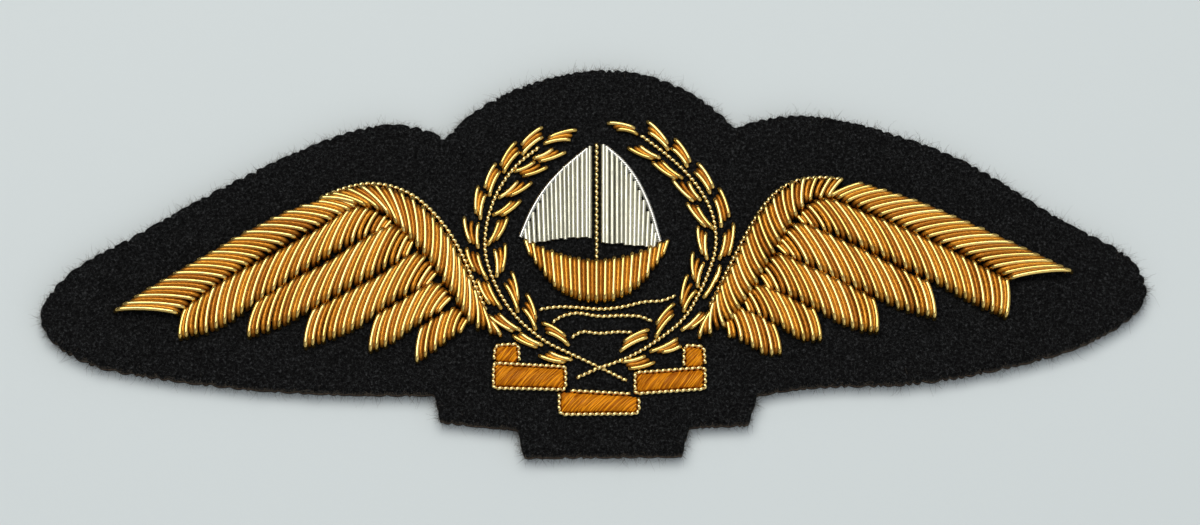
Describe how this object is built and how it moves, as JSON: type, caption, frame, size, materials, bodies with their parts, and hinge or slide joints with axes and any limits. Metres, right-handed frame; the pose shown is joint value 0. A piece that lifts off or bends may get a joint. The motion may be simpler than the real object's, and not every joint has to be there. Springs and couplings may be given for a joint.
{
  "type": "pilot wings badge",
  "caption": "Embroidered pilot wings: gold purl wings, wreath, sailing boat, waves and stepped scroll on shaped black felt, sewn on by its flat back.",
  "frame": {"origin": "on the flat back face, under the middle of the felt's outline", "axes": "+X along the wings towards the right wing tip, +Y towards the top of the badge, +Z out of the embroidered face"},
  "size_m": [0.1442, 0.053, 0.004],
  "materials": {
    "black_felt": "dense black wool felt, matt and slightly hairy, cut edge",
    "buckram": "stiff brown open-weave buckram, sized",
    "backing_cotton": "black plain-weave cotton",
    "padding_felt": "yellow craft felt, matt",
    "gold_purl": "cut coils of gilt wire, smooth and check purl laid in turn",
    "pearl_purl": "beaded gilt wire, polished",
    "silver_purl": "cut coils of silvered wire, bright",
    "silver_twist": "twisted silvered wire",
    "satin_silk": "orange-gold silk in slanting satin stitch, glossy along the threads"
  },
  "bodies": {
    "root": {"felt_ground": "black_felt", "buckram_interlining": "buckram", "backing_cloth": "backing_cotton", "centre_scroll_border": "pearl_purl", "hull_padding": "padding_felt", "hull_purl": "gold_purl", "jib": "silver_purl", "left_feather_2_padding": "padding_felt", "left_feather_2_purl": "gold_purl", "left_feather_3_padding": "padding_felt", "left_feather_3_purl": "gold_purl", "left_feather_4_padding": "padding_felt", "left_feather_4_purl": "gold_purl", "left_feather_5_padding": "padding_felt", "left_feather_5_purl": "gold_purl", "left_feather_6_padding": "padding_felt", "left_feather_6_purl": "gold_purl", "left_inner_leaves": "gold_purl", "left_leading_feather_padding": "padding_felt", "left_leading_feather_purl": "gold_purl", "left_outer_leaves": "gold_purl", "left_scroll_border": "pearl_purl", "left_shoulder_padding": "padding_felt", "left_shoulder_purl": "gold_purl", "left_wing_edge": "pearl_purl", "left_wreath_stem": "pearl_purl", "mainsail": "silver_purl", "mast": "pearl_purl", "right_feather_2_padding": "padding_felt", "right_feather_2_purl": "gold_purl", "right_feather_3_padding": "padding_felt", "right_feather_3_purl": "gold_purl", "right_feather_4_padding": "padding_felt", "right_feather_4_purl": "gold_purl", "right_feather_5_padding": "padding_felt", "right_feather_5_purl": "gold_purl", "right_feather_6_padding": "padding_felt", "right_feather_6_purl": "gold_purl", "right_inner_leaves": "gold_purl", "right_leading_feather_padding": "padding_felt", "right_leading_feather_purl": "gold_purl", "right_outer_leaves": "gold_purl", "right_scroll_border": "pearl_purl", "right_shoulder_padding": "padding_felt", "right_shoulder_purl": "gold_purl", "right_wing_edge": "pearl_purl", "right_wreath_stem": "pearl_purl", "sail_edging": "silver_twist", "scroll_centre_bar": "satin_silk", "scroll_left_bar": "satin_silk", "scroll_left_upright": "satin_silk", "scroll_right_bar": "satin_silk", "scroll_right_upright": "satin_silk", "wave_1": "pearl_purl", "wave_2": "pearl_purl", "wave_3": "pearl_purl"}
  },
  "joints": []
}
